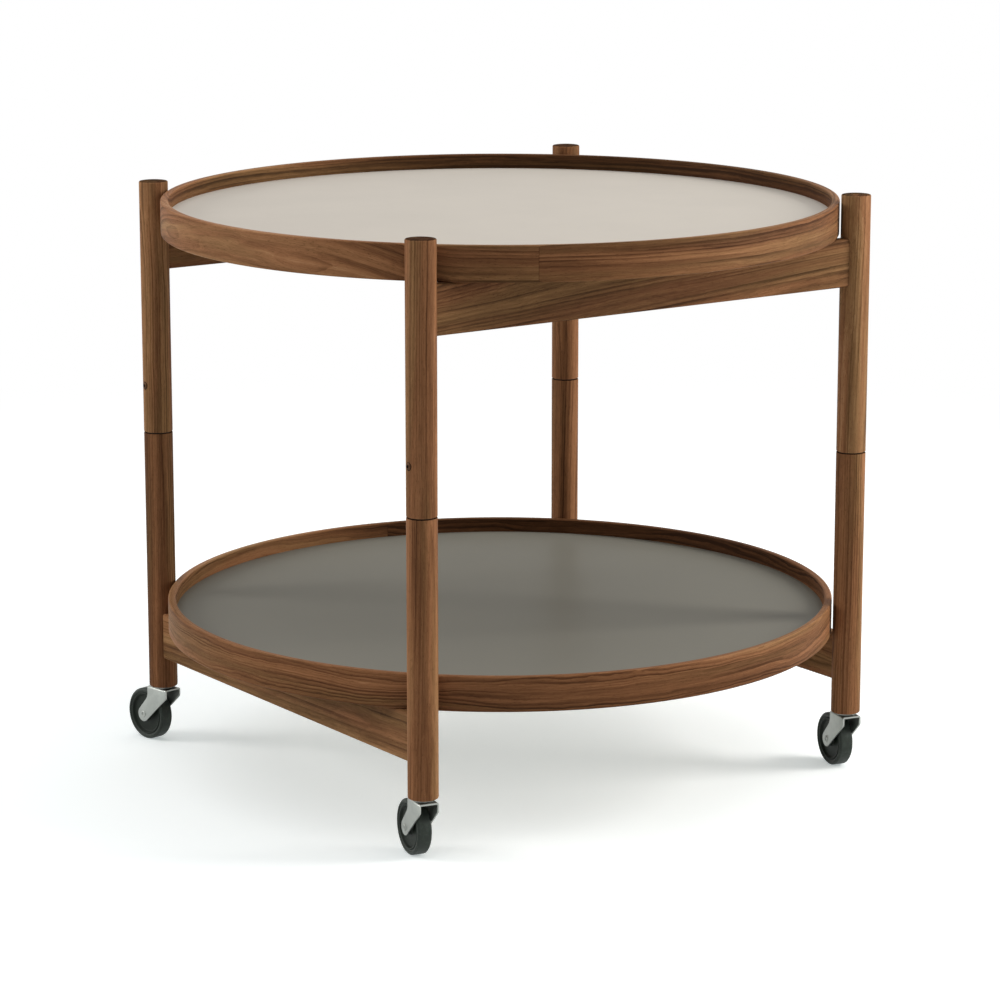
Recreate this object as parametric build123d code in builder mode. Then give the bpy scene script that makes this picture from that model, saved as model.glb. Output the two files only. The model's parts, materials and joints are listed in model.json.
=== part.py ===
from build123d import *
import os
from math import cos, radians, sin, sqrt

os.makedirs("parts", exist_ok=True)

# Serving trolley: two loose round trays on a folding walnut frame with four swivel casters.
# Millimetres. The origin is on the floor under the centre of the trays, +Z is up, and +X runs
# along the two upper rails, so that the front legs are the ones at -Y.

# Trays: a bent walnut rim that grips a laminate-faced board at the middle of its height
tray_diameter = 600.0
rim_height = 30.5
rim_thickness = 7.0
rim_edge_chamfer = 1.2
board_thickness = 2.5
laminate_thickness = 0.5
groove_depth = 3.0
groove_end_gap = 0.2

# Frame: round legs, each cut in two at a pivot, and rails that stand on edge between them
leg_diameter = 26.0
leg_top_chamfer = 1.0
leg_foot_chamfer = 2.0
leg_joint_chamfer = 0.6
leg_tray_gap = 1.5
folded_leg_gap = 1.0
lower_leg_length = 239.0
tray_spacing = 360.0
leg_stand_up = 7.0
rail_foot_height = 28.5
rail_height = 42.5
rail_thickness = 12.0
rail_edge_radius = 2.0
tenon_length = 8.0
tenon_thickness = 5.0
tenon_height = 24.0

# Pivots: a steel pin fixed in the lower half, caught by a screw in the upper half
pin_diameter = 10.0
pin_above_lock = 11.0
pin_sunk = 40.0
pin_end_chamfer = 1.0
pin_end_gap = 1.0
joint_washer_inset = 2.5
joint_washer_thickness = 1.0
lock_height = 44.0
lock_groove_width = 7.0
lock_groove_depth = 1.6
screw_diameter = 5.0
screw_tip_diameter = 4.0
screw_tip_length = 1.5
screw_tip_gap = 0.4
screw_head_diameter = 6.4
screw_head_stand = 1.1
screw_head_crown = 1.0
screw_socket_width = 3.0
screw_socket_depth = 1.6
counterbore_depth = 1.8

# Casters: a folded steel fork on a riveted stem, and a rubber-tyred wheel on a riveted axle
crown_height = 6.0
stem_diameter = 8.0
stem_depth = 30.0
stem_top_chamfer = 1.0
rivet_lip = 1.0
rivet_thickness = 3.2
rivet_chamfer = 1.2
collar_diameter = 20.0
collar_thickness = 1.4
collar_chamfer = 0.5
fork_sheet = 1.5
fork_length = 26.0
fork_front_drop = 8.0
fork_back_drop = 10.5
fork_end_radius = 7.0
fork_bend_radius = 1.8
fork_knee_radius = 3.0
caster_trail = 19.5
wheel_diameter = 48.0
tyre_width = 13.4
tyre_thickness = 4.5
tyre_shoulder_chamfer = 1.6
tyre_bead_chamfer = 0.8
hub_rim_inset = 0.6
hub_rim_thickness = 2.6
hub_web_thickness = 6.4
hub_boss_diameter = 12.0
hub_boss_stand = 0.4
hub_web_draft = 0.8
axle_diameter = 5.0
axle_head_lip = 0.7
axle_head_stand = 0.6
axle_dimple_diameter = 2.6
axle_dimple_depth = 0.8

# How far each caster is turned from +Y towards -X, as it was left after the last push
swivel_turn = {
    "front_left": -11.0,
    "front_right": -13.0,
    "back_left": 11.0,
    "back_right": -4.0,
}

# Clearances
glue_gap = 0.1
running_gap = 0.08
swivel_gap = 0.3
joint_gap = 0.1
tray_seat_gap = 0.1
rivet_gap = 0.3
hub_side_gap = 0.3
counterbore_side_gap = 0.5

# Leg spacing. The trays lie between the legs, and when the frame is folded flat the two legs that
# meet lie side by side, so the two spacings differ by one leg and a gap.
leg_diagonal = tray_diameter + 2 * leg_tray_gap + leg_diameter
fold_step = leg_diameter + folded_leg_gap
pitch_deep = (sqrt(2 * leg_diagonal**2 - fold_step**2) - fold_step) / 2
pitch_across = pitch_deep + fold_step

# Heights above the floor, from the casters up
leg_radius = leg_diameter / 2
leg_foot = wheel_diameter + crown_height
lower_rail_top = leg_foot + rail_foot_height + rail_height
upper_rail_top = lower_rail_top + tray_spacing
joint_seat = leg_foot + lower_leg_length
upper_leg_foot = joint_seat + joint_washer_thickness + joint_gap
leg_top = upper_rail_top + tray_seat_gap + rim_height + leg_stand_up
lock_level = joint_seat + lock_height
pin_foot = joint_seat - pin_sunk
pin_top = lock_level + pin_above_lock
fork_top = leg_foot - collar_thickness - swivel_gap
fork_underside = fork_top - fork_sheet

# Widths and radii that follow from the pieces' fits
pin_radius = pin_diameter / 2
stem_radius = stem_diameter / 2
rivet_radius = stem_radius + rivet_lip
axle_radius = axle_diameter / 2
wheel_radius = wheel_diameter / 2
hub_boss_width = tyre_width + 2 * hub_boss_stand
fork_inner_width = hub_boss_width + 2 * hub_side_gap
fork_outer_width = fork_inner_width + 2 * fork_sheet

corners = {
    "front_left": (-1, -1),
    "front_right": (1, -1),
    "back_left": (-1, 1),
    "back_right": (1, 1),
}


def leg_centre(corner, height):
    """The point on a leg's axis at a height above the floor."""
    side, end = corners[corner]
    return Vector(side * pitch_across / 2, end * pitch_deep / 2, height)


def pocket_plane(corner, height, towards, start):
    """A plane that faces along a horizontal direction, start millimetres from the leg's axis."""
    across = Vector(0, 0, 1).cross(towards)
    return Plane(origin=leg_centre(corner, height) + towards * start, x_dir=across, z_dir=towards)


def caster_side(corner):
    """The caster's own upright plane: local x trails behind the stem and local y is up."""
    turn = radians(swivel_turn[corner])
    trail = Vector(-sin(turn), cos(turn), 0)
    return Plane(origin=leg_centre(corner, 0), x_dir=trail, z_dir=trail.cross(Vector(0, 0, 1)))


def axle_section(corner):
    """The upright plane through the axle: local x runs along the axle and local y is up."""
    side_view = caster_side(corner)
    centre = side_view.from_local_coords(Vector(caster_trail, wheel_radius, 0))
    return Plane(origin=centre, x_dir=side_view.z_dir, z_dir=side_view.z_dir.cross(Vector(0, 0, 1)))


# Trays. The board lies in a groove halfway up the rim, so that either face can be used.
rim_outer = tray_diameter / 2
rim_inner = rim_outer - rim_thickness
board_radius = rim_inner + groove_depth - groove_end_gap
groove_height = board_thickness + 2 * laminate_thickness
tray_seats = {"lower": lower_rail_top + tray_seat_gap, "upper": upper_rail_top + tray_seat_gap}

for level, seat in tray_seats.items():
    middle = seat + rim_height / 2
    with BuildPart() as rim:
        with BuildSketch(Plane.XZ):
            with Locations((rim_outer - rim_thickness / 2, middle)):
                strip = Rectangle(rim_thickness, rim_height)
            chamfer(strip.vertices(), length=rim_edge_chamfer)
            with Locations((rim_inner + groove_depth / 2, middle)):
                Rectangle(groove_depth, groove_height, mode=Mode.SUBTRACT)
        revolve(axis=Axis.Z)
    rim.part.label = f"{level}_tray_rim"
    export_step(rim.part, f"parts/{level}_tray_rim.step")

    board_foot = middle - board_thickness / 2
    sheets = {
        "bottom_laminate": (board_foot - laminate_thickness, laminate_thickness),
        "board": (board_foot, board_thickness),
        "top_laminate": (board_foot + board_thickness, laminate_thickness),
    }
    for sheet_name, (foot, thickness) in sheets.items():
        with BuildPart() as sheet:
            with BuildSketch(Plane.XY.offset(foot)):
                Circle(board_radius)
            extrude(amount=thickness)
        sheet.part.label = f"{level}_tray_{sheet_name}"
        export_step(sheet.part, f"parts/{level}_tray_{sheet_name}.step")

# Rails. The ends are scooped to the round of the legs and carry a stub tenon.
tenon_start = leg_radius - tenon_length
rails = {
    "upper_rail_front": (Vector(0, -pitch_deep / 2, upper_rail_top), Vector(1, 0, 0), pitch_across),
    "upper_rail_back": (Vector(0, pitch_deep / 2, upper_rail_top), Vector(1, 0, 0), pitch_across),
    "lower_rail_left": (Vector(-pitch_across / 2, 0, lower_rail_top), Vector(0, 1, 0), pitch_deep),
    "lower_rail_right": (Vector(pitch_across / 2, 0, lower_rail_top), Vector(0, 1, 0), pitch_deep),
}

for rail_name, (top_centre, along, pitch) in rails.items():
    rail_centre = top_centre - Vector(0, 0, rail_height / 2)
    section = Plane(origin=rail_centre, x_dir=Vector(0, 0, 1).cross(along), z_dir=along)
    level_plane = Plane(origin=rail_centre, x_dir=along, z_dir=(0, 0, 1))
    with BuildPart() as rail:
        with BuildSketch(section):
            RectangleRounded(rail_thickness, rail_height, rail_edge_radius)
        extrude(amount=pitch / 2, both=True)
        with BuildSketch(level_plane):
            with Locations((-pitch / 2, 0), (pitch / 2, 0)):
                Circle(leg_radius + glue_gap)
        extrude(amount=rail_height, both=True, mode=Mode.SUBTRACT)
        with BuildSketch(section):
            Rectangle(tenon_thickness, tenon_height)
        extrude(amount=pitch / 2 - tenon_start, both=True)
    rail.part.label = rail_name
    export_step(rail.part, f"parts/{rail_name}.step")

# Legs. Each half is bored for its half of the pivot pin and mortised for one rail.
upper_rail_middle = upper_rail_top - rail_height / 2
lower_rail_middle = lower_rail_top - rail_height / 2

for corner, (side, end) in corners.items():
    outward = Vector(side, 0, 0)

    with BuildPart() as upper_leg:
        with BuildSketch(Plane(leg_centre(corner, upper_leg_foot))):
            Circle(leg_radius)
        extrude(amount=leg_top - upper_leg_foot)
        chamfer(upper_leg.edges().group_by(Axis.Z)[-1], length=leg_top_chamfer)
        chamfer(upper_leg.edges().group_by(Axis.Z)[0], length=leg_joint_chamfer)
        with BuildSketch(Plane(leg_centre(corner, upper_leg_foot))):
            Circle(pin_radius + running_gap)
        extrude(amount=pin_top + pin_end_gap - upper_leg_foot, mode=Mode.SUBTRACT)
        with BuildSketch(pocket_plane(corner, upper_rail_middle, -outward, tenon_start - glue_gap)):
            Rectangle(tenon_thickness + 2 * glue_gap, tenon_height + 2 * glue_gap)
        extrude(amount=tenon_length + glue_gap, mode=Mode.SUBTRACT)
        with BuildSketch(pocket_plane(corner, lock_level, outward, 0)):
            Circle(screw_diameter / 2 + glue_gap)
        extrude(amount=leg_radius, mode=Mode.SUBTRACT)
        with BuildSketch(pocket_plane(corner, lock_level, outward, leg_radius - counterbore_depth)):
            Circle(screw_head_diameter / 2 + counterbore_side_gap)
        extrude(amount=counterbore_depth, mode=Mode.SUBTRACT)
    upper_leg.part.label = f"upper_leg_{corner}"
    export_step(upper_leg.part, f"parts/upper_leg_{corner}.step")

    inward = Vector(0, -end, 0)
    with BuildPart() as lower_leg:
        with BuildSketch(Plane(leg_centre(corner, leg_foot))):
            Circle(leg_radius)
        extrude(amount=lower_leg_length)
        chamfer(lower_leg.edges().group_by(Axis.Z)[-1], length=leg_joint_chamfer)
        chamfer(lower_leg.edges().group_by(Axis.Z)[0], length=leg_foot_chamfer)
        with BuildSketch(Plane(leg_centre(corner, joint_seat - pin_sunk))):
            Circle(pin_radius + glue_gap)
        extrude(amount=pin_sunk, mode=Mode.SUBTRACT)
        with BuildSketch(Plane(leg_centre(corner, leg_foot))):
            Circle(stem_radius + glue_gap)
        extrude(amount=stem_depth, mode=Mode.SUBTRACT)
        with BuildSketch(pocket_plane(corner, lower_rail_middle, inward, tenon_start - glue_gap)):
            Rectangle(tenon_thickness + 2 * glue_gap, tenon_height + 2 * glue_gap)
        extrude(amount=tenon_length + glue_gap, mode=Mode.SUBTRACT)
    lower_leg.part.label = f"lower_leg_{corner}"
    export_step(lower_leg.part, f"parts/lower_leg_{corner}.step")

# Pivot pins, each with the ring groove that its lock screw runs in, and the joint washers
groove_low = lock_level - lock_groove_width / 2
groove_high = lock_level + lock_groove_width / 2
groove_radius = pin_radius - lock_groove_depth

for corner in corners:
    centre = leg_centre(corner, 0)
    upright = Plane(origin=centre, x_dir=(1, 0, 0), z_dir=(0, -1, 0))

    with BuildPart() as pin:
        with BuildSketch(upright):
            with BuildLine():
                Polyline(
                    (0, pin_foot),
                    (pin_radius - pin_end_chamfer, pin_foot),
                    (pin_radius, pin_foot + pin_end_chamfer),
                    (pin_radius, groove_low),
                    (groove_radius, groove_low),
                    (groove_radius, groove_high),
                    (pin_radius, groove_high),
                    (pin_radius, pin_top - pin_end_chamfer),
                    (pin_radius - pin_end_chamfer, pin_top),
                    (0, pin_top),
                    close=True,
                )
            make_face()
        revolve(axis=Axis(centre, (0, 0, 1)))
    pin.part.label = f"pivot_pin_{corner}"
    export_step(pin.part, f"parts/pivot_pin_{corner}.step")

    with BuildPart() as joint_washer:
        with BuildSketch(Plane(leg_centre(corner, joint_seat))):
            Circle(leg_radius - joint_washer_inset)
            Circle(pin_radius + glue_gap, mode=Mode.SUBTRACT)
        extrude(amount=joint_washer_thickness)
    joint_washer.part.label = f"pivot_washer_{corner}"
    export_step(joint_washer.part, f"parts/pivot_washer_{corner}.step")

# Lock screws, two to an upper frame: a round tip in the groove, a shank and a domed socket head
tip_start = groove_radius + screw_tip_gap
shank_start = tip_start + screw_tip_length
head_start = leg_radius - counterbore_depth
head_edge = leg_radius + screw_head_stand - screw_head_crown
head_crest = leg_radius + screw_head_stand

for frame_end in ("front", "back"):
    with BuildPart() as lock_screws:
        for frame_side in ("left", "right"):
            corner = f"{frame_end}_{frame_side}"
            side = corners[corner][0]
            outward = Vector(side, 0, 0)
            centre = leg_centre(corner, lock_level)
            with BuildSketch(Plane(origin=centre, x_dir=(0, 1, 0), z_dir=(0, 0, -side))):
                with BuildLine():
                    Polyline(
                        (0, head_crest),
                        (0, tip_start),
                        (screw_tip_diameter / 2, tip_start),
                        (screw_tip_diameter / 2, shank_start),
                        (screw_diameter / 2, shank_start),
                        (screw_diameter / 2, head_start),
                        (screw_head_diameter / 2, head_start),
                        (screw_head_diameter / 2, head_edge),
                    )
                    TangentArc((0, head_crest), (screw_head_diameter / 2, head_edge), tangent=(1, 0))
                make_face()
            revolve(axis=Axis(centre, outward))
            socket_floor = head_crest - screw_socket_depth
            with BuildSketch(pocket_plane(corner, lock_level, outward, socket_floor)):
                RegularPolygon(screw_socket_width / 2, 6, major_radius=False)
            extrude(amount=screw_socket_depth, mode=Mode.SUBTRACT)
    lock_screws.part.label = f"lock_screws_{frame_end}"
    export_step(lock_screws.part, f"parts/lock_screws_{frame_end}.step")

# Caster stems and collars. The stem is riveted over under the fork, which turns on it freely.
rivet_top = fork_underside - rivet_gap
rivet_foot = rivet_top - rivet_thickness
stem_top = leg_foot + stem_depth - glue_gap

for corner in corners:
    centre = leg_centre(corner, 0)
    upright = Plane(origin=centre, x_dir=(1, 0, 0), z_dir=(0, -1, 0))

    with BuildPart() as stem:
        with BuildSketch(upright):
            with BuildLine():
                Polyline(
                    (0, rivet_foot),
                    (rivet_radius, rivet_foot),
                    (rivet_radius, rivet_top),
                    (stem_radius, rivet_top),
                    (stem_radius, stem_top - stem_top_chamfer),
                    (stem_radius - stem_top_chamfer, stem_top),
                    (0, stem_top),
                    close=True,
                )
            make_face()
        revolve(axis=Axis(centre, (0, 0, 1)))
        chamfer(stem.edges().group_by(Axis.Z)[0], length=rivet_chamfer)
    stem.part.label = f"caster_stem_{corner}"
    export_step(stem.part, f"parts/caster_stem_{corner}.step")

    with BuildPart() as collar:
        with BuildSketch(Plane(leg_centre(corner, leg_foot))):
            Circle(collar_diameter / 2)
            Circle(stem_radius + glue_gap, mode=Mode.SUBTRACT)
        extrude(amount=-collar_thickness)
        lower_ring = collar.edges().group_by(Axis.Z)[0].sort_by(SortBy.RADIUS)[-1]
        chamfer(lower_ring, length=collar_chamfer)
    collar.part.label = f"caster_collar_{corner}"
    export_step(collar.part, f"parts/caster_collar_{corner}.step")

# Caster forks: one folded sheet, with a flat top and two arms that slant back to the axle
front_knee = fork_top - fork_front_drop
back_knee = fork_top - fork_back_drop

for corner in corners:
    side_view = caster_side(corner)
    with BuildPart() as fork:
        with BuildSketch(side_view) as arm:
            with Locations((caster_trail, wheel_radius)):
                Circle(fork_end_radius)
            with BuildLine():
                Line((-fork_length / 2, front_knee), (fork_length / 2, back_knee))
            make_hull()
            with BuildLine():
                Polyline(
                    (-fork_length / 2, front_knee),
                    (-fork_length / 2, fork_top),
                    (fork_length / 2, fork_top),
                    (fork_length / 2, back_knee),
                    close=True,
                )
            make_face()
            knees = arm.vertices().filter_by_position(Axis.Y, back_knee - 0.1, front_knee + 0.1)
            fillet(knees, radius=fork_knee_radius)
        extrude(amount=fork_outer_width / 2, both=True)
        with BuildSketch(side_view):
            with Locations((0, fork_underside / 2)):
                Rectangle(4 * fork_length, fork_underside)
        extrude(amount=fork_inner_width / 2, both=True, mode=Mode.SUBTRACT)
        along_fork = fork.edges().filter_by(Axis(side_view.origin, side_view.x_dir))
        fillet(along_fork.group_by(Axis.Z)[-1], radius=fork_bend_radius)
        with BuildSketch(Plane(leg_centre(corner, fork_underside))):
            Circle(stem_radius + running_gap)
        extrude(amount=fork_sheet, mode=Mode.SUBTRACT)
        with BuildSketch(side_view):
            with Locations((caster_trail, wheel_radius)):
                Circle(axle_radius + glue_gap)
        extrude(amount=fork_outer_width / 2, both=True, mode=Mode.SUBTRACT)
    fork.part.label = f"caster_fork_{corner}"
    export_step(fork.part, f"parts/caster_fork_{corner}.step")

# Axles: rivets through both arms, with a low head and a dimple at each end
axle_shoulder = fork_outer_width / 2
axle_end = axle_shoulder + axle_head_stand
axle_head_radius = axle_radius + axle_head_lip

for corner in corners:
    across = axle_section(corner)
    with BuildPart() as axle:
        with BuildSketch(across):
            with BuildLine():
                Polyline(
                    (-axle_end, 0),
                    (-axle_end, axle_head_radius),
                    (-axle_shoulder, axle_head_radius),
                    (-axle_shoulder, axle_radius),
                    (axle_shoulder, axle_radius),
                    (axle_shoulder, axle_head_radius),
                    (axle_end, axle_head_radius),
                    (axle_end, 0),
                    close=True,
                )
            make_face()
        revolve(axis=Axis(across.origin, across.x_dir))
        for facing in (across.x_dir, -across.x_dir):
            dimple_floor = across.origin + facing * (axle_end - axle_dimple_depth)
            with BuildSketch(Plane(origin=dimple_floor, x_dir=(0, 0, 1), z_dir=facing)):
                Circle(axle_dimple_diameter / 2)
            extrude(amount=axle_dimple_depth, mode=Mode.SUBTRACT)
    axle.part.label = f"caster_axle_{corner}"
    export_step(axle.part, f"parts/caster_axle_{corner}.step")

# Wheels: a plastic hub with a thin web between boss and rim, and a rubber tyre moulded round it
hub_radius = wheel_radius - tyre_thickness
hub_rim_inner = hub_radius - hub_rim_thickness
hub_rim_width = tyre_width - 2 * hub_rim_inset
boss_radius = hub_boss_diameter / 2
hub_steps = [
    (hub_boss_width / 2, axle_radius + running_gap),
    (hub_boss_width / 2, boss_radius),
    (hub_web_thickness / 2, boss_radius + hub_web_draft),
    (hub_web_thickness / 2, hub_rim_inner - hub_web_draft),
    (hub_rim_width / 2, hub_rim_inner),
    (hub_rim_width / 2, hub_radius),
]

for corner in corners:
    across = axle_section(corner)
    with BuildPart() as hub:
        with BuildSketch(across):
            with BuildLine():
                Polyline(*hub_steps, *[(-x, y) for x, y in reversed(hub_steps)], close=True)
            make_face()
        revolve(axis=Axis(across.origin, across.x_dir))
    hub.part.label = f"wheel_hub_{corner}"
    export_step(hub.part, f"parts/wheel_hub_{corner}.step")

    with BuildPart() as tyre:
        with BuildSketch(across) as tyre_section:
            with Locations((0, hub_radius + glue_gap)):
                tread = wheel_radius - hub_radius - glue_gap
                Rectangle(tyre_width, tread, align=(Align.CENTER, Align.MIN))
            chamfer(tyre_section.vertices().group_by(Axis.Y)[-1], length=tyre_shoulder_chamfer)
            chamfer(tyre_section.vertices().group_by(Axis.Y)[0], length=tyre_bead_chamfer)
        revolve(axis=Axis(across.origin, across.x_dir))
    tyre.part.label = f"wheel_tyre_{corner}"
    export_step(tyre.part, f"parts/wheel_tyre_{corner}.step")
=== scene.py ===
import json
from math import acos, atan2, cos, pi, radians, sin, tan

import bmesh
import bpy
from mathutils import Matrix, Vector


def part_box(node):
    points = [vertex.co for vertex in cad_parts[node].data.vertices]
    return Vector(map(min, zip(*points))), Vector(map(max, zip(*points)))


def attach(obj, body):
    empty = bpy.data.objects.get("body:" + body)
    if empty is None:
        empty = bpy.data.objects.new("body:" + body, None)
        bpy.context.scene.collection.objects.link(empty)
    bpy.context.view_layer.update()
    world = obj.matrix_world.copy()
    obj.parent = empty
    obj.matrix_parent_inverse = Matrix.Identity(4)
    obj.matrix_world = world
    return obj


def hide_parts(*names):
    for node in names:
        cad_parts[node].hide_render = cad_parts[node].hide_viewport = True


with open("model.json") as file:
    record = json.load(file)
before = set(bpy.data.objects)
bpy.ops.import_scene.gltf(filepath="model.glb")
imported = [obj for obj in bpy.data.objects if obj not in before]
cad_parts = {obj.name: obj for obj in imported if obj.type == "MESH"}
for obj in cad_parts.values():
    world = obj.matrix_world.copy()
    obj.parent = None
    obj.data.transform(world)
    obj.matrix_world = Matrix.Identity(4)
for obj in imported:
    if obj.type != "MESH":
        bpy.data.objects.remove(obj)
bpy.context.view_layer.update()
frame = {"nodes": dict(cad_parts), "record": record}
MM = 0.001
corners = ("front_left", "front_right", "back_left", "back_right")

# Leg halves. Eight walnut dowels turned to 26 mm, the upper ones standing on the lower ones at the
# pivots, with the grain along the leg, a small round at the top and finer ones at the joint.
# A lock screw's head lies in a counterbore on the outer side of each upper half.


class Wire:
    """One output in a node tree. Sums of wires and numbers add Math nodes to that tree."""

    def __init__(self, sheet, socket):
        self.sheet = sheet
        self.socket = socket

    def maths(self, operation, *terms):
        settings = {"operation": operation}
        return self.sheet.node("ShaderNodeMath", settings, dict(enumerate(terms)))

    def __add__(self, other):
        return self.maths("ADD", self, other)

    def __sub__(self, other):
        return self.maths("SUBTRACT", self, other)

    def __mul__(self, other):
        return self.maths("MULTIPLY", self, other)

    def __truediv__(self, other):
        return self.maths("DIVIDE", self, other)

    def __pow__(self, other):
        return self.maths("POWER", self, other)

    def __rsub__(self, other):
        return self.maths("SUBTRACT", other, self)

    def __abs__(self):
        return self.maths("ABSOLUTE", self)

    def fraction(self):
        return self.maths("FRACT", self)

    __radd__ = __add__
    __rmul__ = __mul__


class Sheet:
    """A node tree that is being drawn, of a material or of a modifier."""

    def __init__(self, tree):
        self.tree = tree

    def node(self, kind, settings=None, sockets=None, out=0):
        """Adds a node, sets it up, fills its sockets with values or wires and returns an output."""
        made = self.tree.nodes.new(kind)
        for key, value in (settings or {}).items():
            if key == "stops":
                ramp = made.color_ramp.elements
                while len(ramp) < len(value):
                    ramp.new(1.0)
                for stop, (position, colour) in zip(ramp, value):
                    stop.position = position
                    stop.color = colour
            else:
                setattr(made, key, value)
        for key, value in (sockets or {}).items():
            if isinstance(value, Wire):
                self.tree.links.new(value.socket, made.inputs[key])
            else:
                made.inputs[key].default_value = value
        return Wire(self, made.outputs[out]) if made.outputs else made

    def split(self, vector):
        """The three parts of a vector."""
        parts = self.node("ShaderNodeSeparateXYZ", {}, {0: vector}).socket.node
        return [Wire(self, parts.outputs[i]) for i in range(3)]

    def noise(self, x, y, z, detail=2.0, roughness=0.5):
        """Cloud of values about one half, with features one unit wide along x, y and z."""
        point = self.node("ShaderNodeCombineXYZ", {}, {0: x, 1: y, 2: z})
        sockets = {"Vector": point, "Scale": 1.0, "Detail": detail, "Roughness": roughness}
        return self.node("ShaderNodeTexNoise", {}, sockets)

    def cloud(self, point, widths, detail=2.0, roughness=0.5):
        """Noise over a point's three parts, with features as wide as given for each of them."""
        if not isinstance(widths, tuple):
            widths = (widths, widths, widths)
        scaled = [part / width for part, width in zip(point, widths)]
        return self.noise(*scaled, detail, roughness)

    def ease(self, value, low, high, start=0.0, end=1.0):
        """Runs smoothly from start to end as value goes from low to high."""
        span = {"From Min": low, "From Max": high, "To Min": start, "To Max": end}
        settings = {"interpolation_type": "SMOOTHSTEP"}
        return self.node("ShaderNodeMapRange", settings, {"Value": value, **span})

    def tint(self, colour, other, share):
        """Blends one colour into another by a share from 0 to 1."""
        settings = {"data_type": "RGBA", "blend_type": "MIX"}
        sockets = {"Factor": share, 6: colour, 7: other}
        return self.node("ShaderNodeMix", settings, sockets, 2)

    def relief(self, height, depth, strength):
        """Turns a height from 0 to 1 into a surface relief that is depth metres deep."""
        sockets = {"Height": height, "Distance": depth, "Strength": strength}
        return self.node("ShaderNodeBump", {}, sockets)


def srgb(red, green, blue):
    """A colour as a paint chart gives it, from 0 to 255, made linear."""
    parts = [c / 255 for c in (red, green, blue)]
    return (*[p / 12.92 if p < 0.04045 else ((p + 0.055) / 1.055) ** 2.4 for p in parts], 1.0)


def finish(name, **sockets):
    """A new material with constant values on its shader; returns the material and its sheet."""
    material = bpy.data.materials.new(name)
    material.use_nodes = True
    shader = material.node_tree.nodes["Principled BSDF"]
    for key, value in sockets.items():
        shader.inputs[key.replace("_", " ")].default_value = value
    return material, Sheet(material.node_tree)


def spread(sheet, **sockets):
    """Feeds what changes over the surface to the material's shader."""
    shader = sheet.tree.nodes["Principled BSDF"]
    for key, wire in sockets.items():
        sheet.tree.links.new(wire.socket, shader.inputs[key.replace("_", " ")])


def millimetres(sheet):
    """The point on the piece in millimetres, as three values."""
    point = sheet.node("ShaderNodeTexCoord", {}, {}, 3)
    sockets = {0: point, "Scale": 1 / MM}
    return sheet.split(sheet.node("ShaderNodeVectorMath", {"operation": "SCALE"}, sockets))


russet_tones = [
    (0.00, srgb(58, 36, 22)),
    (0.25, srgb(92, 60, 38)),
    (0.50, srgb(126, 85, 56)),
    (0.75, srgb(156, 109, 74)),
    (1.00, srgb(188, 141, 102)),
]
golden_tones = [
    (0.00, srgb(54, 37, 22)),
    (0.25, srgb(88, 63, 39)),
    (0.50, srgb(123, 90, 58)),
    (0.75, srgb(154, 116, 78)),
    (1.00, srgb(187, 148, 106)),
]
pore_colour = srgb(38, 24, 15)
oil_gloss = {"IOR": 1.45, "Specular_IOR_Level": 0.04}
oil_roughness = 0.54
grain_depth = 0.12 * MM
# Patterns are sized in millimetres, like the points that they are drawn from.
ring_width = 2.4
ring_darkness = 0.36


def oiled_walnut(sheet, along, side, depth, tone, russet=0.5, wildness=1.0):
    """Oiled walnut, from how far a point lies along the pith and to its side and depth from it, in
    millimetres. A wilder grain wanders more. Returns figure, redness, fibres and pores, 0 to 1."""
    sway = sheet.cloud((along, side, depth), (170, 40, 40), 1.5)
    ripple = sheet.cloud((along, side, depth), (42, 11, 11), 1.0)
    quiver = sheet.cloud((along, side, depth), (11, 5, 5), 1.0)
    wander = (sway * 26 + ripple * 3.5 - 14.75) * wildness + (quiver - 0.5) * 0.9
    side = side + wander
    depth = depth + wander * 0.6
    distance = (side * side + depth * depth) ** 0.5
    pace = sheet.noise(distance / 8, 0.37, 0.73, 2.0)
    season = (distance / ring_width + pace * 4.0).fraction()
    ring = sheet.ease(season, 0.3, 0.95) * sheet.ease(season, 1.0, 0.95)
    year = sheet.noise(distance / 3.5, along / 260, 0.2, 1.0)
    strength = sheet.ease(year, 0.35, 0.75, 0.15, 1.0)
    streak = sheet.cloud((along, side, depth), (420, 9, 9), 2.5, 0.6)
    fibre = sheet.cloud((along, side, depth), (24, 0.7, 0.7), 2.0, 0.65)
    pore = sheet.ease(sheet.cloud((along, side, depth), (4.2, 0.3, 0.3), 1.0), 0.62, 0.72)
    hue = sheet.noise(along / 310, side / 15 + 7.3, depth / 15, 1.5)
    figure = tone + (streak - 0.5) * 0.9 + (sway - 0.5) * 0.2 + (fibre - 0.5) * 0.5
    figure = figure - ring * strength * ring_darkness
    return figure, sheet.ease(hue + (russet - 0.5), 0.34, 0.66), fibre, pore


def walnut_skin(sheet, figure, redness, fibre, pore, end_grain=0.0):
    """Colours the figure, darkens the pores and gives the oiled surface its satin and its relief.
    End grain is duller."""
    russet = sheet.node("ShaderNodeValToRGB", {"stops": russet_tones}, {0: figure})
    golden = sheet.node("ShaderNodeValToRGB", {"stops": golden_tones}, {0: figure})
    colour = sheet.tint(sheet.tint(golden, russet, redness), pore_colour, pore * 0.5)
    height = fibre * 0.35 - pore
    spread(
        sheet,
        Base_Color=colour,
        Roughness=oil_roughness + pore * 0.2 - (figure - 0.5) * 0.1 + end_grain * 0.4,
        Normal=sheet.relief(height, grain_depth, 0.35),
    )


def facing_up(sheet):
    """How far the surface faces up, from -1 to 1."""
    return sheet.split(sheet.node("ShaderNodeNewGeometry", {}, {}, 1))[2]


heart_distance = 35.0
lean_in_x = 0.012
lean_in_y = 0.03
# How much darker the dowels' ends are drawn: darker end grain, deepened by painted shade on the
# tops.
end_grain_and_painted_shade = 0.5


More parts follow.
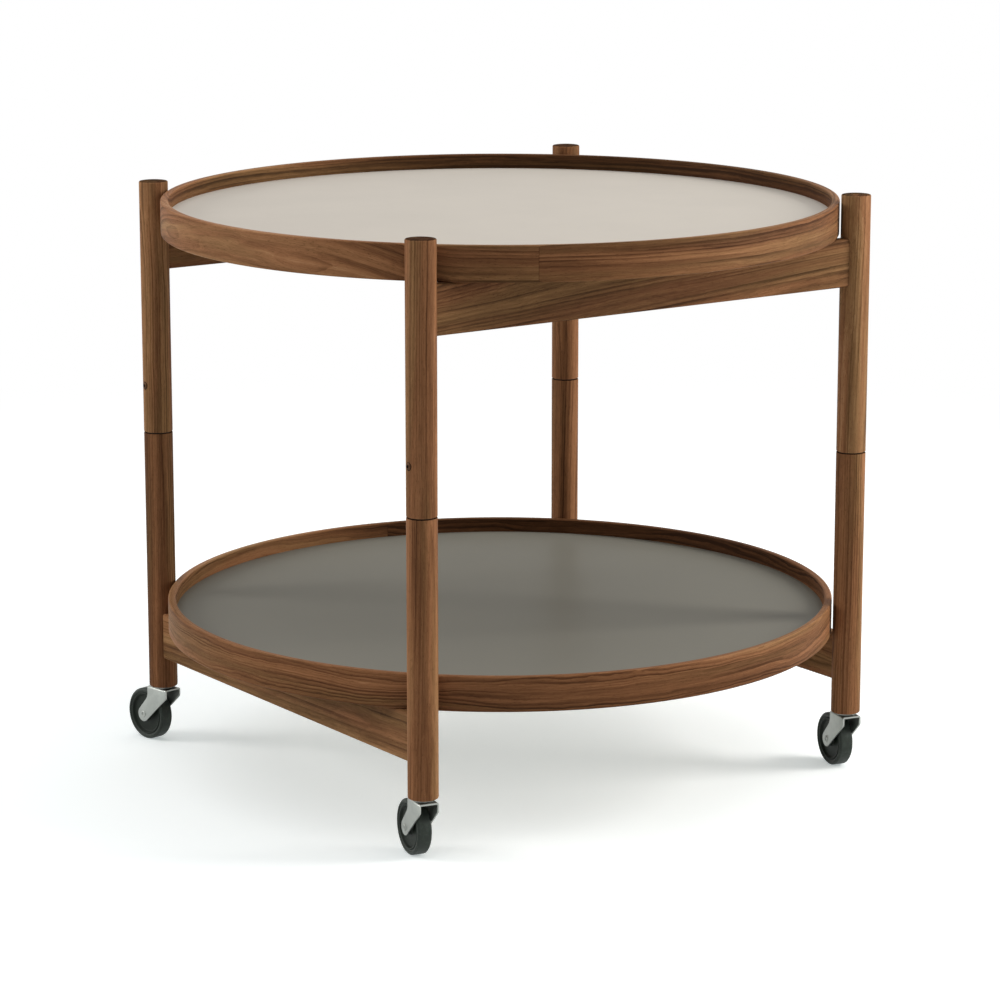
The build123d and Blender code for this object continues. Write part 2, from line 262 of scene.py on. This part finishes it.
def turned_walnut(name, centre, cut_from, heart, tone, russet, wildness):
    """Walnut for a dowel that was cut a length along from a log's end, with the log's heart on a
    bearing in degrees. Seen from there or from behind it the figure is flat-sawn, from the sides
    straight."""
    material, sheet = finish(name, **oil_gloss)
    x, y, z = millimetres(sheet)
    heart = radians(heart)
    along = z + cut_from
    side = x - (centre.x / MM + heart_distance * cos(heart)) + along * lean_in_x
    depth = y - (centre.y / MM + heart_distance * sin(heart)) + z * lean_in_y
    figure, *rest = oiled_walnut(sheet, along, side, depth, tone, russet, wildness)
    # The ends are drawn darker: end grain is darker, and part of the darkening is painted shade.
    end_grain = sheet.ease(abs(facing_up(sheet)), 0.8, 0.97)
    walnut_skin(sheet, figure - end_grain * end_grain_and_painted_shade, *rest, end_grain)
    return material


def lathe():
    """The tree that turns an outline round Z, each of its corners rounded by its own radius."""
    tree = bpy.data.node_groups.new("lathe", "GeometryNodeTree")
    new_socket = tree.interface.new_socket
    new_socket("Solid", in_out="OUTPUT", socket_type="NodeSocketGeometry")
    for name, kind in {
        "Outline": "NodeSocketGeometry",
        "Radius": "NodeSocketFloat",
        "Facets": "NodeSocketInt",
        "Corner Steps": "NodeSocketInt",
        "Material": "NodeSocketMaterial",
    }.items():
        new_socket(name, in_out="INPUT", socket_type=kind)
    sheet = Sheet(tree)
    given = tree.nodes.new("NodeGroupInput").outputs
    size = {socket.name: Wire(sheet, socket) for socket in given if socket.name}
    outline = sheet.node("GeometryNodeMeshToCurve", {}, {"Mesh": size["Outline"]})
    number = {"data_type": "FLOAT"}
    corner = sheet.node("GeometryNodeInputNamedAttribute", number, {"Name": "corner"})
    rounding = {
        "Curve": outline,
        "Radius": corner,
        "Limit Radius": True,
        "Count": size["Corner Steps"],
    }
    round_outline = sheet.node("GeometryNodeFilletCurve", {"mode": "POLY"}, rounding)
    round_path = {"Resolution": size["Facets"], "Radius": size["Radius"]}
    path = sheet.node("GeometryNodeCurvePrimitiveCircle", {"mode": "RADIUS"}, round_path)
    sweep = {"Curve": path, "Profile Curve": round_outline}
    turned = sheet.node("GeometryNodeCurveToMesh", {}, sweep)
    joined = {"Geometry": turned, "Distance": 0.001 * MM}
    merged = sheet.node("GeometryNodeMergeByDistance", {}, joined)
    real = sheet.node("GeometryNodeRealizeInstances", {}, {"Geometry": merged})
    paint = {"Geometry": real, "Material": size["Material"]}
    coloured = sheet.node("GeometryNodeSetMaterial", {}, paint)
    tree.links.new(coloured.socket, tree.nodes.new("NodeGroupOutput").inputs["Solid"])
    return tree


lathe_tree = lathe()
hard_corner = radians(38)


def plain_mesh(piece):
    """Applies a piece's modifiers for good and smooths all but its hard corners."""
    seen = piece.evaluated_get(bpy.context.evaluated_depsgraph_get())
    mesh = bpy.data.meshes.new_from_object(seen)
    piece.modifiers.clear()
    piece.data = mesh
    shell = bmesh.new()
    shell.from_mesh(mesh)
    bmesh.ops.recalc_face_normals(shell, faces=shell.faces)
    shell.to_mesh(mesh)
    shell.free()
    mesh.shade_smooth()
    mesh.set_sharp_from_angle(angle=hard_corner)
    return piece


def in_scene(name, data):
    """A new object in the scene."""
    made = bpy.data.objects.new(name, data)
    bpy.context.scene.collection.objects.link(made)
    return made


def turn(name, outline, material, facets=96, steps=4, closed=False):
    """A round piece from its outline, a list of (distance from the axis, height, corner radius)."""
    mesh = bpy.data.meshes.new(name)
    reach = max(radius for radius, _, _ in outline)
    last = len(outline) - 1
    edges = [(i, i + 1) for i in range(last)] + ([(last, 0)] if closed else [])
    mesh.from_pydata([(radius - reach, -height, 0) for radius, height, _ in outline], edges, [])
    corner = mesh.attributes.new("corner", "FLOAT", "POINT")
    corner.data.foreach_set("value", [round_ for _, _, round_ in outline])
    piece = in_scene(name, mesh)
    modifier = piece.modifiers.new("lathe", "NODES")
    modifier.node_group = lathe_tree
    given = {"Radius": reach, "Facets": facets, "Corner Steps": steps, "Material": material}
    for item in lathe_tree.interface.items_tree:
        if item.name in given:
            modifier[item.identifier] = given[item.name]
    return plain_mesh(piece)


def place(piece, matrix):
    """Moves a piece's mesh to its place, and leaves the object at the origin."""
    piece.data.transform(matrix)


def keep(piece, node):
    """Fits a piece in the frame: it stands for a CAD node and moves with that node's body."""
    bodies = frame["record"]["behaviour"]["bodies"]
    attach(piece, next(body for body, nodes in bodies.items() if node in nodes))
    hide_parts(node)


leg_round = {"top": 1.1 * MM, "joint": 0.5 * MM, "foot": 1.6 * MM}
screw_level = 337 * MM
bore_radius = 3.7 * MM
bore_depth = 1.8 * MM

# How each dowel was cut, in millimetres and degrees, and what its wood is like.
leg_stock = {
    "upper_leg_front_left": dict(cut_from=370, heart=-28, tone=0.62, russet=0.60, wildness=0.3),
    "lower_leg_front_left": dict(cut_from=2100, heart=-35, tone=0.65, russet=0.58, wildness=0.35),
    "upper_leg_front_right": dict(cut_from=1180, heart=95, tone=0.74, russet=0.46, wildness=1.0),
    "lower_leg_front_right": dict(cut_from=2730, heart=120, tone=0.63, russet=0.60, wildness=0.5),
    "upper_leg_back_left": dict(cut_from=890, heart=145, tone=0.62, russet=0.44, wildness=0.5),
    "lower_leg_back_left": dict(cut_from=3350, heart=145, tone=0.50, russet=0.62, wildness=0.5),
    "upper_leg_back_right": dict(cut_from=1650, heart=55, tone=0.60, russet=0.58, wildness=0.5),
    "lower_leg_back_right": dict(cut_from=4020, heart=55, tone=0.57, russet=0.58, wildness=0.5),
}


def counterbore(leg, centre, radius):
    """Sinks the lock screw's counterbore into the outer side of an upper leg half."""
    outward = 1 if centre.x > 0 else -1
    drill = [(0, 0, 0), (bore_radius, 0, 0), (bore_radius, radius, 0), (0, radius, 0)]
    bore = turn("bore", drill, None)
    bore_floor = centre + Vector((outward * (radius - bore_depth), 0, screw_level))
    place(bore, Matrix.Translation(bore_floor) @ Matrix.Rotation(outward * pi / 2, 4, "Y"))
    cut = leg.modifiers.new("bore", "BOOLEAN")
    cut.object = bore
    plain_mesh(leg)
    bpy.data.objects.remove(bore)


for corner in corners:
    for half, foot_round, top_round in (("upper", "joint", "top"), ("lower", "foot", "joint")):
        node = f"{half}_leg_{corner}"
        low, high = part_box(node)
        radius = (high.x - low.x) / 2
        centre = Vector(((low.x + high.x) / 2, (low.y + high.y) / 2, 0))
        walnut = turned_walnut(f"walnut_{node}", centre, **leg_stock[node])
        outline = [
            (0, low.z, 0),
            (radius, low.z, leg_round[foot_round]),
            (radius, high.z, leg_round[top_round]),
            (0, high.z, 0),
        ]
        leg = turn(f"leg_{half}_{corner}", outline, walnut)
        place(leg, Matrix.Translation(centre))
        if half == "upper":
            counterbore(leg, centre, radius)
        keep(leg, node)

# Rails. Four walnut boards on edge, glued into the legs with stub tenons: two run from left to
# right high up, two from front to back low down. Flat-sawn, with softly rounded edges.


def grain_along(name, axis, pith, slope, tone, russet):
    """Walnut for a board whose grain runs along X or Y and rises a little on its way."""
    material, sheet = finish(name, **oil_gloss)
    x, y, z = millimetres(sheet)
    along, deep = (x, y) if axis == "X" else (y, x)
    side = z - along * slope - pith[0]
    walnut_skin(sheet, *oiled_walnut(sheet, along, side, deep - pith[1], tone, russet))
    return material


def repaint(node, material, slot):
    """Gives a CAD node its finish."""
    piece = frame["nodes"][node]
    piece.data.materials.clear()
    piece.data.materials.append(material)


across_walnut = grain_along(
    "walnut_upper_rail", axis="X", pith=(410.0, -150.0), slope=0.07, tone=0.46, russet=0.46
)
deep_walnut = grain_along(
    "walnut_lower_rail", axis="Y", pith=(60.0, -150.0), slope=-0.03, tone=0.58, russet=0.42
)
for end in ("front", "back"):
    repaint(f"upper_rail_{end}", across_walnut, "walnut_rail")
for side in ("left", "right"):
    repaint(f"lower_rail_{side}", deep_walnut, "walnut_rail")

# Pivots. A steel pin and a thin washer in each leg joint; only the washer's edge shows, in the
# shadow line between the halves. The lock screws above are browned steel, domed, with a socket.


def worn_metal(name, colour, dark, roughness, scale):
    """Plain metal whose plating varies a little in colour and gloss, with fine handling marks."""
    material, sheet = finish(name, Metallic=1.0)
    point = millimetres(sheet)
    cloud = sheet.cloud(point, scale, 3.0, 0.6)
    grit = sheet.cloud(point, 0.35, 2.0, 0.6)
    spread(
        sheet,
        Base_Color=sheet.tint(dark, colour, sheet.ease(cloud, 0.35, 0.65)),
        Roughness=roughness + (cloud - 0.5) * 0.25 + (grit - 0.5) * 0.15,
        Normal=sheet.relief(grit, 0.03 * MM, 0.35),
    )
    return material


pivot_steel = worn_metal(
    "pivot_steel", srgb(62, 54, 47), srgb(46, 40, 35), roughness=0.6, scale=6
)
screw_brown = worn_metal(
    "browned_screw", srgb(90, 66, 47), srgb(68, 48, 33), roughness=0.62, scale=3
)
for corner in corners:
    repaint(f"pivot_pin_{corner}", pivot_steel, "pivot_steel")
    repaint(f"pivot_washer_{corner}", pivot_steel, "pivot_steel")
for end in ("front", "back"):
    repaint(f"lock_screws_{end}", screw_brown, "screw_metal")

# Tray rims. Each is one walnut strip, planed to 7 mm, steamed and bent to a ring, with its ends
# glued in a long scarf and its edges rounded. A groove inside holds the board.
rim_thickness = 7 * MM
rim_edge_round = 1.8 * MM
rim_facets = 288
groove_floor = 3.0 * MM
rim_middle = 296.5
scarf_slant = 0.022
glue_line_darkness = 0.16
# Painted shade: the bearing round which both rims are drawn darker, where their inner faces lie in
# shade.
painted_shade_bearing = radians(30)
bold_shift = 28

# Where on each rim the scarf and a paler stretch lie, in degrees from +X, and its wood.
rim_stock = {
    "upper": dict(scarf=245.4, pale=184, bold=1.0, pith=(470.0, 40.0), tone=0.5, russet=0.54),
    "lower": dict(scarf=72.6, pale=115, bold=0.0, pith=(190.0, 55.0), tone=0.5, russet=0.6),
}


def bent_walnut(name, scarf, pale, bold, pith, tone, russet):
    """Walnut whose grain runs round a ring, with its scarf at one angle and a paler stretch at
    another, where the figure may be bold. Painted shade darkens the ring towards one bearing, and a
    painted highlight lightens its faces that look up."""
    material, sheet = finish(name, **oil_gloss)
    x, y, z = millimetres(sheet)

    def towards(angle):
        return (x * cos(angle) + y * sin(angle)) / rim_middle

    out = (x * x + y * y) ** 0.5 - rim_middle
    start = radians(scarf) - pi
    turned_y = towards(start + pi / 2)
    bearing = turned_y.maths("ARCTAN2", turned_y, towards(start)) + out * scarf_slant
    wrapped = bearing.maths("WRAP", bearing, pi, -pi)
    sapwood = sheet.ease(towards(radians(pale)), 0.72, 1.0)
    # Painted shade: the ring is drawn darker round that bearing, on both rims alike.
    heart = sheet.ease(towards(painted_shade_bearing), 0.26, 0.9)
    # Painted highlight: faces that look up are drawn lighter.
    painted_top_highlight = sheet.ease(facing_up(sheet), 0.2, 0.9)
    tone_and_painted_light = tone + sapwood * 0.19 - heart * 0.3 + painted_top_highlight * 0.18
    side = z - pith[0] - sapwood * bold * bold_shift
    wildness = 0.6 + sapwood * bold * 0.7
    along = wrapped * rim_middle
    figure, *rest = oiled_walnut(sheet, along, side, out - pith[1], tone_and_painted_light, russet, wildness)
    from_joint = (pi - abs(wrapped)) * rim_middle
    glue_line = sheet.ease(from_joint, 0.6, 0.1)
    walnut_skin(sheet, figure - glue_line * glue_line_darkness, *rest)
    return material


for level in ("upper", "lower"):
    node = f"{level}_tray_rim"
    low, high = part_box(node)
    board_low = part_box(f"{level}_tray_bottom_laminate")[0].z
    board_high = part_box(f"{level}_tray_top_laminate")[1].z
    outer = high.x
    inner = outer - rim_thickness
    outline = [
        (outer, low.z, rim_edge_round),
        (outer, high.z, rim_edge_round),
        (inner, high.z, rim_edge_round),
        (inner, board_high, 0),
        (inner + groove_floor, board_high, 0),
        (inner + groove_floor, board_low, 0),
        (inner, board_low, 0),
        (inner, low.z, rim_edge_round),
    ]
    walnut = bent_walnut(f"walnut_{level}_rim", **rim_stock[level])
    rim = turn(f"rim_{level}", outline, walnut, facets=rim_facets, steps=6, closed=True)
    keep(rim, node)

# Boards. Plywood faced on both sides with laminate, warm light grey on one face and dark grey on
# the other, so that a tray can be turned over. The faces are satin and very finely textured.
laminate_gloss = {"IOR": 1.45, "Specular_IOR_Level": 0.025}
shade_of_clouds = 0.965
veneer_thickness = 0.8


def laminate(name, colour, roughness):
    """Satin laminate: nearly even, with a fine pressed texture and faint clouds of gloss."""
    material, sheet = finish(name, **laminate_gloss)
    point = millimetres(sheet)
    cloud = sheet.cloud(point, 90, 3.0, 0.55)
    texture = sheet.cloud(point, 0.5, 2.0, 0.6)
    darker = tuple(part * shade_of_clouds for part in colour[:3]) + (1.0,)
    spread(
        sheet,
        Base_Color=sheet.tint(darker, colour, sheet.ease(cloud * 0.7 + texture * 0.3, 0.35, 0.65)),
        Roughness=roughness + (cloud - 0.5) * 0.08 + (texture - 0.5) * 0.08,
        Normal=sheet.relief(texture, 0.02 * MM, 0.3),
    )
    return material


light_laminate = laminate("laminate_light", srgb(211, 203, 192), roughness=0.5)
dark_laminate = laminate("laminate_dark", srgb(131, 128, 118), roughness=0.42)

ply, sheet = finish("plywood_core", Roughness=0.7)
point = millimetres(sheet)
layer = sheet.ease((point[2] / veneer_thickness).fraction(), 0.4, 0.6)
grain = sheet.ease(sheet.cloud(point, (14, 1.5, 1.5), 2.0), 0.45, 0.7)
ply_colour = sheet.tint(srgb(196, 164, 122), srgb(150, 116, 80), layer * 0.7)
spread(sheet, Base_Color=sheet.tint(ply_colour, srgb(120, 90, 60), grain * 0.5))

light_face = (light_laminate, "laminate_light")
dark_face = (dark_laminate, "laminate_dark")
for level, top, bottom in (("upper", light_face, dark_face), ("lower", dark_face, light_face)):
    repaint(f"{level}_tray_top_laminate", *top)
    repaint(f"{level}_tray_bottom_laminate", *bottom)
    repaint(f"{level}_tray_board", ply, "board_core")

# Caster forks. Zinc-plated sheet steel, pressed to a flat crown with two arms that slant back to
# the axle; the sheared edges are a little rounded and shine.
zinc = worn_metal(
    "zinc_plate", srgb(165, 168, 163), srgb(155, 158, 153), roughness=0.42, scale=9
)
sheet_thickness = 1.5 * MM
sheared_round = 0.2 * MM
sheared_angle = radians(50)
fork_width = 17.8 * MM
fork_length = 26.0 * MM
front_drop = 8.0 * MM
rear_drop = 10.5 * MM
fold_round = 1.05 * MM
front_knee_round = 4.0 * MM
rear_knee_round = 10.0 * MM
arm_end_round = 7.0 * MM
arm_end_steps = 20
up = Vector((0, 0, 1))


def rounded(before, corner, after, radius, steps=8):
    """The arc that rounds a corner between two lines, as points."""
    back, ahead = (before - corner).normalized(), (after - corner).normalized()
    half_angle = back.angle(ahead) / 2
    middle = corner + (back + ahead).normalized() * radius / sin(half_angle)
    first = (corner + back * radius / tan(half_angle) - middle).normalized()
    last = (corner + ahead * radius / tan(half_angle) - middle).normalized()
    return [middle + first.slerp(last, i / steps) * radius for i in range(steps + 1)]


def touch(centre, radius, point, side):
    """The bearing where a line from a point touches a circle, on its left (1) or right (-1)."""
    away = point - centre
    return atan2(away.y, away.x) + side * acos(radius / away.length)


def caster_axes(corner):
    """A caster's axle point and stem point, and its level directions, along and across."""
    hub_low, hub_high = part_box(f"wheel_hub_{corner}")
    stem_low, stem_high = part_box(f"caster_stem_{corner}")
    axle_point = (hub_low + hub_high) / 2
    stem_point = (stem_low + stem_high) / 2
    along = Vector((axle_point.x - stem_point.x, axle_point.y - stem_point.y, 0)).normalized()
    return axle_point, stem_point, along, Vector((along.y, -along.x, 0))


def arm_outline(trail, axle_level, fork_top):
    """The outline of a fork's arm, from its front fold round the axle to its rear fold, along the
    trail and up from the floor."""
    crown_level = fork_top - sheet_thickness / 2
    axle = Vector((trail, axle_level))
    front = Vector((-fork_length / 2, crown_level))
    rear = Vector((fork_length / 2, crown_level))
    front_knee = Vector((front.x, fork_top - front_drop))
    rear_knee = Vector((rear.x, fork_top - rear_drop))
    start = touch(axle, arm_end_round, front_knee, 1) - 2 * pi
    end = touch(axle, arm_end_round, rear_knee, -1)
    bearings = [start + (end - start) * i / arm_end_steps for i in range(arm_end_steps + 1)]
    arm_end = [axle + Vector((cos(b), sin(b))) * arm_end_round for b in bearings]
    return [
        front,
        *rounded(front, front_knee, arm_end[0], front_knee_round),
        *arm_end,
        *rounded(arm_end[-1], rear_knee, rear, rear_knee_round),
        rear,
    ]


def folded_sheet(name, outline, half_gap, material):
    """Two arms of one outline, which starts and ends at the folds, joined by a flat crown."""
    sheet_metal = bmesh.new()
    new_point = sheet_metal.verts.new
    arms = [[new_point((p.x, side * half_gap, p.y)) for p in outline] for side in (1, -1)]
    sheet_metal.faces.new(arms[0])
    sheet_metal.faces.new(arms[1][::-1])
    sheet_metal.faces.new((arms[0][0], arms[0][-1], arms[1][-1], arms[1][0]))
    folds = [sheet_metal.edges.get((arm[0], arm[-1])) for arm in arms]
    bend = {"offset": fold_round, "segments": 5, "profile": 0.5, "affect": "EDGES"}
    bmesh.ops.bevel(sheet_metal, geom=folds, **bend)
    mesh = bpy.data.meshes.new(name)
    sheet_metal.to_mesh(mesh)
    sheet_metal.free()
    mesh.materials.append(material)
    piece = in_scene(name, mesh)
    thickness = piece.modifiers.new("sheet", "SOLIDIFY")
    thickness.thickness = sheet_thickness
    thickness.offset = 0
    thickness.use_even_offset = True
    edge = piece.modifiers.new("sheared_edge", "BEVEL")
    edge.width = sheared_round
    edge.segments = 2
    edge.limit_method = "ANGLE"
    edge.angle_limit = sheared_angle
    return plain_mesh(piece)


for corner in corners:
    node = f"caster_fork_{corner}"
    axle_point, stem_point, along, across = caster_axes(corner)
    trail = (axle_point - stem_point).xy.length
    outline = arm_outline(trail, axle_point.z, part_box(node)[1].z)
    fork = folded_sheet(f"fork_{corner}", outline, (fork_width - sheet_thickness) / 2, zinc)
    axes = Matrix((along, across, up)).transposed().to_4x4()
    place(fork, Matrix.Translation((stem_point.x, stem_point.y, 0)) @ axes)
    keep(fork, node)

# Stems, collars and axles. Bright turned steel: the stem is pressed into the leg and riveted under
# the fork and the collar spaces it. The axle is a zinc-plated rivet with hollow domed heads.
bright_steel = worn_metal(
    "bright_steel", srgb(168, 168, 163), srgb(140, 140, 136), roughness=0.3, scale=4
)


def two_sided(half):
    """A turned piece's whole outline in metres, from one side's in millimetres."""
    whole = half + [(radius, -width, round_) for radius, width, round_ in reversed(half)]
    return [tuple(size * MM for size in point) for point in whole]


def on_axle(piece, corner):
    """Moves a turned piece's mesh onto the axle of a caster."""
    axle_point, _, _, across = caster_axes(corner)
    axes = Matrix((up.cross(across), up, across)).transposed().to_4x4()
    place(piece, Matrix.Translation(axle_point) @ axes)


# The half outlines give radius, distance from the middle plane and corner radius.
arm_face = fork_width / 2 / MM
hollow_level = arm_face - 0.7
head_level = arm_face + 0.55
axle_half = [
    (0, hollow_level, 0),
    (1.3, hollow_level, 0.1),
    (1.5, head_level, 0.15),
    (3.0, head_level, 0.35),
    (3.0, arm_face, 0),
    (2.45, arm_face, 0),
]
for corner in corners:
    repaint(f"caster_stem_{corner}", bright_steel, "zinc_steel")
    repaint(f"caster_collar_{corner}", bright_steel, "zinc_steel")
    rivet = turn(f"axle_{corner}", two_sided(axle_half), zinc, facets=48, steps=3)
    on_axle(rivet, corner)
    keep(rivet, f"caster_axle_{corner}")

# Wheels. A hub moulded in dark plastic, with a thin web between its boss and a raised ring, and a
# grey-black rubber tyre moulded round it, with tapered shoulders and a smooth tread.


def moulded(name, colour, high, roughness, gloss, grain_size, depth):
    """Dull moulded plastic or rubber, a little lighter where it is scuffed."""
    material, sheet = finish(name, IOR=1.5, Specular_IOR_Level=gloss)
    point = millimetres(sheet)
    scuff = sheet.cloud(point, 5, 4.0, 0.65)
    skin = sheet.cloud(point, grain_size, 2.0, 0.6)
    worn = sheet.ease(scuff * 0.75 + skin * 0.25, 0.45, 0.7)
    spread(
        sheet,
        Base_Color=sheet.tint(colour, high, worn),
        Roughness=roughness + (scuff - 0.5) * 0.25,
        Normal=sheet.relief(skin, depth, 0.4),
    )
    return material


hub_plastic = moulded(
    "hub_plastic",
    srgb(23, 30, 23),
    srgb(32, 40, 31),
    roughness=0.48,
    gloss=0.16,
    grain_size=0.5,
    depth=0.03 * MM,
)
tyre_rubber = moulded(
    "tyre_rubber",
    srgb(39, 46, 40),
    srgb(55, 63, 56),
    roughness=0.5,
    gloss=0.26,
    grain_size=0.3,
    depth=0.05 * MM,
)
hub_half = [
    (2.58, 7.1, 0.3),
    (6.0, 7.1, 0.6),
    (7.0, 3.9, 0.8),
    (16.9, 3.9, 1.2),
    (18.1, 6.0, 0.5),
    (18.9, 6.1, 0.4),
    (19.5, 5.5, 0.2),
]
tyre_half = [
    (19.6, 5.5, 0.2),
    (20.6, 5.7, 0.6),
    (21.3, 6.7, 0.5),
    (22.6, 6.5, 1.0),
    (24.0, 5.1, 0.9),
]
for corner in corners:
    for part, half, material, slot in (
        ("hub", hub_half, hub_plastic, "wheel_plastic"),
        ("tyre", tyre_half, tyre_rubber, "wheel_rubber"),
    ):
        wheel_part = turn(f"{part}_{corner}", two_sided(half), material, closed=True)
        on_axle(wheel_part, corner)
        keep(wheel_part, f"wheel_{part}_{corner}")

# Floor, light and camera. A pale floor that runs to white away from the trolley and keeps its
# shadow, wide soft lamps on the right and left, a bright ceiling, and a long lens from 3.3 m.
floor_reach = 30.0
floor_colour = (0.86, 0.86, 0.86, 1.0)
shadow_lift = {"Color": (0.915, 1.0, 0.995, 1.0), "Strength": 0.41}
white_light = {"Color": (1.0, 1.0, 1.0, 1.0), "Strength": 1.0}
# How far from the middle the floor begins to whiten and is white, in millimetres.
fade_start = 900
fade_end = 1900


def seen_directly(sheet):
    """1 for what the eye, a gloss or a glass sees, 0 for light that bounces."""
    path = sheet.node("ShaderNodeLightPath").socket.node.outputs
    kinds = ("Is Camera Ray", "Is Glossy Ray", "Is Transmission Ray")
    rays = [Wire(sheet, path[kind]) for kind in kinds]
    seen = rays[0] + rays[1] + rays[2]
    return seen.maths("MINIMUM", seen, 1.0)


floor_finish, sheet = finish(
    "pale_floor", Base_Color=floor_colour, Roughness=0.9, Specular_IOR_Level=0.0
)
x, y, z = millimetres(sheet)
plain = Wire(sheet, sheet.tree.nodes["Principled BSDF"].outputs[0])
lift = sheet.node("ShaderNodeEmission", {}, shadow_lift)
lifted = sheet.node("ShaderNodeAddShader", {}, {0: plain, 1: lift})
white = sheet.node("ShaderNodeEmission", {}, white_light)
far_off = sheet.ease((x * x + y * y) ** 0.5, fade_start, fade_end)
shown = sheet.node("ShaderNodeMixShader", {}, {0: far_off, 1: lifted, 2: white})
whole = sheet.node("ShaderNodeMixShader", {}, {0: seen_directly(sheet), 1: plain, 2: shown})
sheet.tree.links.new(whole.socket, sheet.tree.nodes["Material Output"].inputs["Surface"])

floor_mesh = bpy.data.meshes.new("floor")
ends = (-floor_reach, floor_reach)
floor_mesh.from_pydata([(x, y, 0) for x in ends for y in ends], [], [(0, 2, 3, 1)])
floor_mesh.materials.append(floor_finish)
floor = in_scene("floor", floor_mesh)

# The camera stands this far round to the left of the front.
camera_bearing = radians(35.031)


def from_camera(right, away, height):
    """A direction given to the camera's right, away from it and up."""
    c, s = cos(camera_bearing), sin(camera_bearing)
    return (right * c + away * s, away * c - right * s, height)


world = bpy.data.worlds.new("studio")
bpy.context.scene.world = world
world.use_nodes = True
sheet = Sheet(world.node_tree)
direction = sheet.node("ShaderNodeTexCoord")


def facing(aim):
    """How far the world's direction agrees with another, from -1 to 1."""
    settings = {"operation": "DOT_PRODUCT"}
    return sheet.node("ShaderNodeVectorMath", settings, {0: direction, 1: aim}, 1)


ceiling = sheet.ease(facing((0, 0, 1)), 0.5, 0.95)
back_wall = sheet.ease(facing(from_camera(0, 1, 0)), -0.2, 0.8)
glow = {"Color": (0.98, 0.99, 1.0, 1.0), "Strength": ceiling * 1.05 + back_wall * 0.24 + 0.03}
ambient = sheet.node("ShaderNodeBackground", {}, glow)
backdrop = sheet.node("ShaderNodeBackground", {}, white_light)
sky = sheet.node("ShaderNodeMixShader", {}, {0: seen_directly(sheet), 1: ambient, 2: backdrop})
sheet.tree.links.new(sky.socket, sheet.tree.nodes["World Output"].inputs["Surface"])

lamp_distance = 2.6
lamp_aim = Vector((0, 0, 0.3))


def lamp(name, direction, size, watts, colour):
    """A soft box that looks at the trolley's middle from a direction."""
    light = bpy.data.lights.new(name, "AREA")
    light.shape = "RECTANGLE"
    light.size, light.size_y = size
    light.energy = watts
    light.color = colour
    holder = in_scene(name, light)
    away = Vector(direction).normalized()
    holder.location = lamp_aim + away * lamp_distance
    holder.rotation_euler = away.to_track_quat("Z", "Y").to_euler()


right_side = from_camera(1.0, -0.04, 0.38)
left_side = from_camera(-1.0, 0, 0.3)
lamp("lamp_right", right_side, size=(1.0, 1.9), watts=60, colour=(1.0, 0.985, 0.96))
lamp("lamp_left", left_side, size=(1.0, 1.0), watts=28, colour=(1.0, 0.99, 0.975))

focal_pixels = 3650.0
image_pixels = 1000
camera_distance = 3.2155
camera_height = 0.9532
camera_pitch = radians(12.521)
photo_camera = bpy.data.cameras.new("photo_camera")
photo_camera.sensor_width = 36.0
photo_camera.lens = focal_pixels * photo_camera.sensor_width / image_pixels
camera = in_scene("photo_camera", photo_camera)
camera_x, camera_y, _ = from_camera(0, -camera_distance, 0)
camera.location = (camera_x, camera_y, camera_height)
camera.rotation_euler = (pi / 2 - camera_pitch, 0, -camera_bearing)
bpy.context.scene.camera = camera
bpy.context.scene.view_settings.view_transform = "Standard"
